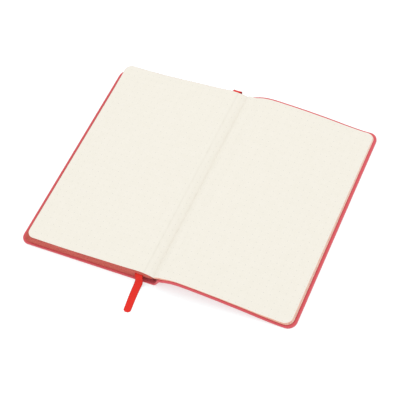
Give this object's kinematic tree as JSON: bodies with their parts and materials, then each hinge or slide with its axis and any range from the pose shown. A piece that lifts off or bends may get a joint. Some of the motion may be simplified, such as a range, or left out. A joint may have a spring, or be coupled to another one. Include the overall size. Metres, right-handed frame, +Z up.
{
  "type": "pocket notebook",
  "caption": "Open pocket notebook: sewn dotted leaves in a soft wrapped hard cover with a spine, dyed leaf edges and a ribbon marker.",
  "frame": {"origin": "middle of the covers' base on the surface they lie on, without the ribbon", "axes": "+X from the front cover's fore-edge to the back cover's, +Y from tail to head, +Z up from the surface"},
  "size_m": [0.1772, 0.1661, 0.0111],
  "materials": {
    "cover_skin": "matte soft-touch wrap, coral red",
    "board": "grey board",
    "endpaper": "uncoated cream paper",
    "leaves": "uncoated off-white paper with a faint dot grid, edges dyed brownish red",
    "thread": "waxed sewing thread",
    "glue": "dried white glue",
    "gauze": "open cotton weave",
    "ribbon": "narrow satin ribbon"
  },
  "bodies": {
    "front_half": {"front_skin": "cover_skin", "front_board": "board", "front_pastedown": "endpaper", "front_flyleaf": "endpaper", "signature_01": "leaves", "signature_02": "leaves", "signature_03": "leaves", "signature_04": "leaves", "signature_05": "leaves", "signature_06": "leaves", "signature_07": "leaves", "signature_08": "leaves", "signature_09": "leaves", "signature_10": "leaves", "sewing_thread": "thread", "spine_glue": "glue", "spine_mull": "gauze", "ribbon_marker": "ribbon"},
    "spine": {"spine_skin": "cover_skin", "spine_strip": "board", "gutter_fold": "leaves"},
    "back_half": {"back_skin": "cover_skin", "back_board": "board", "back_pastedown": "endpaper", "back_flyleaf": "endpaper", "signature_11": "leaves"},
    "left_leaf": {"left_leaf": "leaves"}
  },
  "joints": [
    {"name": "front_joint", "type": "hinge", "parent": "front_half", "child": "spine", "pos_m": [-0.00655, 0, 0.00165], "axis": [0, -1, 0], "range_deg": [0, 60]},
    {"name": "back_joint", "type": "hinge", "parent": "spine", "child": "back_half", "pos_m": [0.00625, 0, 0.0073], "axis": [0, -1, 0], "range_deg": [0, 127], "deforming": ["gutter_fold"]},
    {"name": "leaf_turn", "type": "hinge", "parent": "front_half", "child": "left_leaf", "pos_m": [0.00245, 0, 0.0102], "axis": [0, -1, 0], "range_deg": [-179, 0], "deforming": ["left_leaf"]}
  ],
  "couplings": [
    {"joint": "front_joint", "follows": "back_joint", "ratio": 0.47244}
  ]
}
